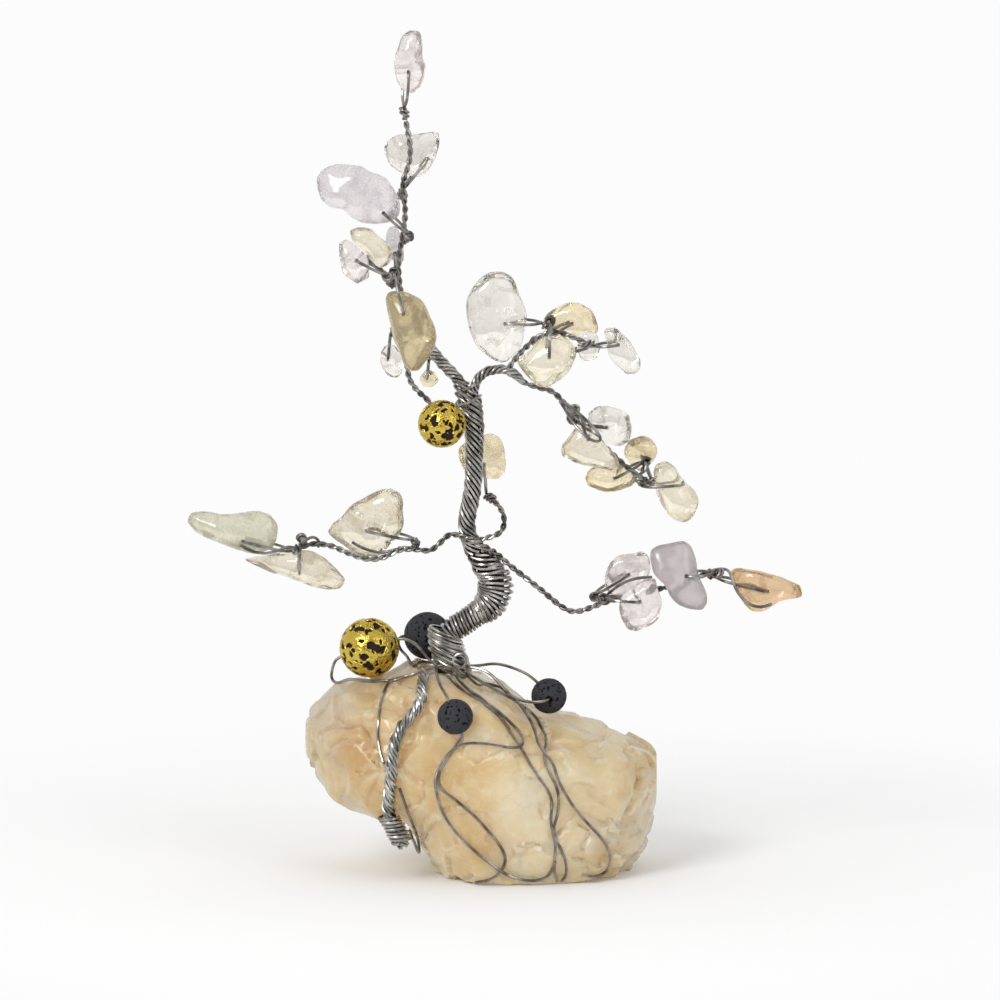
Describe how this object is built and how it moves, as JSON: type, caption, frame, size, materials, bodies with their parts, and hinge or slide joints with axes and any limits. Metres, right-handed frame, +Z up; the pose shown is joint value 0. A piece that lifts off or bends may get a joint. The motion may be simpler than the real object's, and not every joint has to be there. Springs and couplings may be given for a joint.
{
  "type": "gemstone tree ornament",
  "caption": "Wire tree with threaded gem chips and lava beads, rooted on a rough citrine stone.",
  "frame": {"origin": "middle of the stone's flat foot, on the surface that it stands on", "axes": "+Z up the tree, +X to the right seen from the front, +Y away from the viewer"},
  "size_m": [0.1017, 0.0375, 0.139],
  "materials": {
    "rough_citrine": "matte",
    "steel_wire": "satin",
    "dark_steel_wire": "satin",
    "rose_quartz": "gloss",
    "lavender_quartz": "gloss",
    "smoky_citrine": "gloss",
    "amber_citrine": "gloss",
    "green_quartz": "gloss",
    "cream_citrine": "gloss",
    "yellow_citrine": "gloss",
    "clear_quartz": "gloss",
    "gold_lava": "satin",
    "black_lava": "matte"
  },
  "bodies": {
    "tree": {"arch_bundle": "steel_wire", "arch_twigs": "dark_steel_wire", "base_stone": "rough_citrine", "bead_twig": "dark_steel_wire", "leader_bundle": "steel_wire", "leader_twigs": "dark_steel_wire", "leader_twist": "dark_steel_wire", "left_twigs": "dark_steel_wire", "left_twist": "dark_steel_wire", "lower_twigs": "dark_steel_wire", "lower_twist": "dark_steel_wire", "right_twigs": "dark_steel_wire", "root_knot": "steel_wire", "root_rope": "steel_wire", "root_wire_back_bead": "steel_wire", "root_wire_gold_bead": "steel_wire", "root_wire_right_bead": "steel_wire", "root_wires_left": "steel_wire", "root_wires_middle": "steel_wire", "root_wires_right": "steel_wire", "trunk_core": "steel_wire", "trunk_strands": "steel_wire", "trunk_twig": "dark_steel_wire", "trunk_winding": "steel_wire", "upper_twigs": "dark_steel_wire"},
    "chip_rose_tip_body": {"chip_rose_tip": "rose_quartz"},
    "chip_clear_upper_body": {"chip_clear_upper": "clear_quartz"},
    "chip_lavender_large_body": {"chip_lavender_large": "lavender_quartz"},
    "chip_cream_body": {"chip_cream": "cream_citrine"},
    "chip_pink_small_body": {"chip_pink_small": "rose_quartz"},
    "chip_rose_back_body": {"chip_rose_back": "rose_quartz"},
    "chip_smoky_body": {"chip_smoky": "smoky_citrine"},
    "chip_clear_low_body": {"chip_clear_low": "clear_quartz"},
    "chip_orange_small_body": {"chip_orange_small": "amber_citrine"},
    "chip_yellow_trunk_body": {"chip_yellow_trunk": "yellow_citrine"},
    "chip_clear_oval_body": {"chip_clear_oval": "clear_quartz"},
    "chip_yellow_pale_body": {"chip_yellow_pale": "yellow_citrine"},
    "chip_cream_angular_body": {"chip_cream_angular": "cream_citrine"},
    "chip_clear_small_body": {"chip_clear_small": "clear_quartz"},
    "chip_clear_end_body": {"chip_clear_end": "clear_quartz"},
    "chip_clear_front_body": {"chip_clear_front": "clear_quartz"},
    "chip_clear_back_body": {"chip_clear_back": "clear_quartz"},
    "chip_yellow_wide_body": {"chip_yellow_wide": "yellow_citrine"},
    "chip_yellow_back_body": {"chip_yellow_back": "yellow_citrine"},
    "chip_green_end_body": {"chip_green_end": "green_quartz"},
    "chip_rose_matte_body": {"chip_rose_matte": "rose_quartz"},
    "chip_clear_glossy_body": {"chip_clear_glossy": "clear_quartz"},
    "chip_lavender_grey_body": {"chip_lavender_grey": "lavender_quartz"},
    "chip_amber_end_body": {"chip_amber_end": "amber_citrine"},
    "chip_clear_left_body": {"chip_clear_left": "clear_quartz"},
    "chip_green_end_left_body": {"chip_green_end_left": "green_quartz"},
    "chip_clear_flat_body": {"chip_clear_flat": "clear_quartz"},
    "bead_gold_large_body": {"bead_gold_large": "gold_lava"},
    "bead_gold_small_body": {"bead_gold_small": "gold_lava"},
    "bead_black_back_body": {"bead_black_back": "black_lava"},
    "bead_black_front_body": {"bead_black_front": "black_lava"},
    "bead_black_right_body": {"bead_black_right": "black_lava"}
  },
  "joints": [
    {"name": "chip_rose_tip_swing", "type": "hinge", "parent": "tree", "child": "chip_rose_tip_body", "pos_m": [-0.01504, -0.00006, 0.13185], "axis": [-0.1736, 0.9848, 0], "range_deg": [-8, 8]},
    {"name": "chip_clear_upper_swing", "type": "hinge", "parent": "tree", "child": "chip_clear_upper_body", "pos_m": [-0.01162, 0.00261, 0.11717], "axis": [0, 1, 0], "range_deg": [-8, 8]},
    {"name": "chip_lavender_large_swing", "type": "hinge", "parent": "tree", "child": "chip_lavender_large_body", "pos_m": [-0.0188, -0.00425, 0.10938], "axis": [0, 1, 0], "range_deg": [-8, 8]},
    {"name": "chip_cream_swing", "type": "hinge", "parent": "tree", "child": "chip_cream_body", "pos_m": [-0.02142, -0.00229, 0.1016], "axis": [0, 1, 0], "range_deg": [-8, 8]},
    {"name": "chip_pink_small_swing", "type": "hinge", "parent": "tree", "child": "chip_pink_small_body", "pos_m": [-0.02321, -0.00719, 0.10192], "axis": [0, 1, 0], "range_deg": [-8, 8]},
    {"name": "chip_rose_back_swing", "type": "hinge", "parent": "tree", "child": "chip_rose_back_body", "pos_m": [-0.01701, 0.00457, 0.10128], "axis": [0, 1, 0], "range_deg": [-8, 8]},
    {"name": "chip_smoky_swing", "type": "hinge", "parent": "tree", "child": "chip_smoky_body", "pos_m": [-0.01554, -0.00425, 0.09282], "axis": [0, 1, 0], "range_deg": [-8, 8]},
    {"name": "chip_clear_low_swing", "type": "hinge", "parent": "tree", "child": "chip_clear_low_body", "pos_m": [-0.01815, 0.00294, 0.084], "axis": [0, 1, 0], "range_deg": [-8, 8]},
    {"name": "chip_orange_small_swing", "type": "hinge", "parent": "tree", "child": "chip_orange_small_body", "pos_m": [-0.01178, 0.00555, 0.08025], "axis": [0, 1, 0], "range_deg": [-8, 8]},
    {"name": "chip_yellow_trunk_swing", "type": "hinge", "parent": "tree", "child": "chip_yellow_trunk_body", "pos_m": [-0.00247, 0.00588, 0.06629], "axis": [0, 1, 0], "range_deg": [-8, 8]},
    {"name": "chip_clear_oval_swing", "type": "hinge", "parent": "tree", "child": "chip_clear_oval_body", "pos_m": [0.00096, -0.00359, 0.09106], "axis": [0, 1, 0], "range_deg": [-8, 8]},
    {"name": "chip_yellow_pale_swing", "type": "hinge", "parent": "tree", "child": "chip_yellow_pale_body", "pos_m": [0.0119, 0.00163, 0.09018], "axis": [0, 1, 0], "range_deg": [-8, 8]},
    {"name": "chip_cream_angular_swing", "type": "hinge", "parent": "tree", "child": "chip_cream_angular_body", "pos_m": [0.00814, -0.00882, 0.0863], "axis": [0, 1, 0], "range_deg": [-8, 8]},
    {"name": "chip_clear_small_swing", "type": "hinge", "parent": "tree", "child": "chip_clear_small_body", "pos_m": [0.01435, -0.00131, 0.08653], "axis": [0, 1, 0], "range_deg": [-8, 8]},
    {"name": "chip_clear_end_swing", "type": "hinge", "parent": "tree", "child": "chip_clear_end_body", "pos_m": [0.01941, -0.00523, 0.08769], "axis": [0, 1, 0], "range_deg": [-8, 8]},
    {"name": "chip_clear_front_swing", "type": "hinge", "parent": "tree", "child": "chip_clear_front_body", "pos_m": [0.01451, -0.00457, 0.07201], "axis": [0, 1, 0], "range_deg": [-8, 8]},
    {"name": "chip_clear_back_swing", "type": "hinge", "parent": "tree", "child": "chip_clear_back_body", "pos_m": [0.01761, 0.00392, 0.07258], "axis": [0, 1, 0], "range_deg": [-8, 8]},
    {"name": "chip_yellow_wide_swing", "type": "hinge", "parent": "tree", "child": "chip_yellow_wide_body", "pos_m": [0.01876, 0.00294, 0.0643], "axis": [0, 1, 0], "range_deg": [-8, 8]},
    {"name": "chip_yellow_back_swing", "type": "hinge", "parent": "tree", "child": "chip_yellow_back_body", "pos_m": [0.02333, 0.00784, 0.06712], "axis": [0, 1, 0], "range_deg": [-8, 8]},
    {"name": "chip_green_end_swing", "type": "hinge", "parent": "tree", "child": "chip_green_end_body", "pos_m": [0.03002, -0.00131, 0.06402], "axis": [0, 1, 0], "range_deg": [-8, 8]},
    {"name": "chip_rose_matte_swing", "type": "hinge", "parent": "tree", "child": "chip_rose_matte_body", "pos_m": [0.0212, 0.00327, 0.04835], "axis": [0, 1, 0], "range_deg": [-8, 8]},
    {"name": "chip_clear_glossy_swing", "type": "hinge", "parent": "tree", "child": "chip_clear_glossy_body", "pos_m": [0.023, -0.00457, 0.04519], "axis": [0, 1, 0], "range_deg": [-8, 8]},
    {"name": "chip_lavender_grey_swing", "type": "hinge", "parent": "tree", "child": "chip_lavender_grey_body", "pos_m": [0.03051, -0.00425, 0.04944], "axis": [0, 1, 0], "range_deg": [-8, 8]},
    {"name": "chip_amber_end_swing", "type": "hinge", "parent": "tree", "child": "chip_amber_end_body", "pos_m": [0.0439, -0.00065, 0.04619], "axis": [0, 1, 0], "range_deg": [-8, 8]},
    {"name": "chip_clear_left_swing", "type": "hinge", "parent": "tree", "child": "chip_clear_left_body", "pos_m": [-0.02174, 0.00131, 0.05596], "axis": [0, 1, 0], "range_deg": [-8, 8]},
    {"name": "chip_green_end_left_swing", "type": "hinge", "parent": "tree", "child": "chip_green_end_left_body", "pos_m": [-0.04183, -0.00196, 0.05486], "axis": [0, 1, 0], "range_deg": [-8, 8]},
    {"name": "chip_clear_flat_swing", "type": "hinge", "parent": "tree", "child": "chip_clear_flat_body", "pos_m": [-0.03268, 0.00392, 0.04841], "axis": [0, 1, 0], "range_deg": [-8, 8]},
    {"name": "bead_gold_large_spin", "type": "hinge", "parent": "tree", "child": "bead_gold_large_body", "pos_m": [-0.02121, -0.00096, 0.03665], "axis": [0.9549, 0, 0.297], "continuous": true},
    {"name": "bead_gold_small_spin", "type": "hinge", "parent": "tree", "child": "bead_gold_small_body", "pos_m": [-0.00933, -0.0049, 0.07439], "axis": [0.499, -0.2196, -0.8383], "continuous": true},
    {"name": "bead_black_back_spin", "type": "hinge", "parent": "tree", "child": "bead_black_back_body", "pos_m": [-0.01173, 0.00707, 0.03726], "axis": [1, 0, 0], "continuous": true},
    {"name": "bead_black_front_spin", "type": "hinge", "parent": "tree", "child": "bead_black_front_body", "pos_m": [-0.00715, -0.01754, 0.02819], "axis": [0.38, 0, -0.925], "continuous": true},
    {"name": "bead_black_right_spin", "type": "hinge", "parent": "tree", "child": "bead_black_right_body", "pos_m": [0.00813, -0.00592, 0.02955], "axis": [0, 1, 0], "continuous": true}
  ]
}
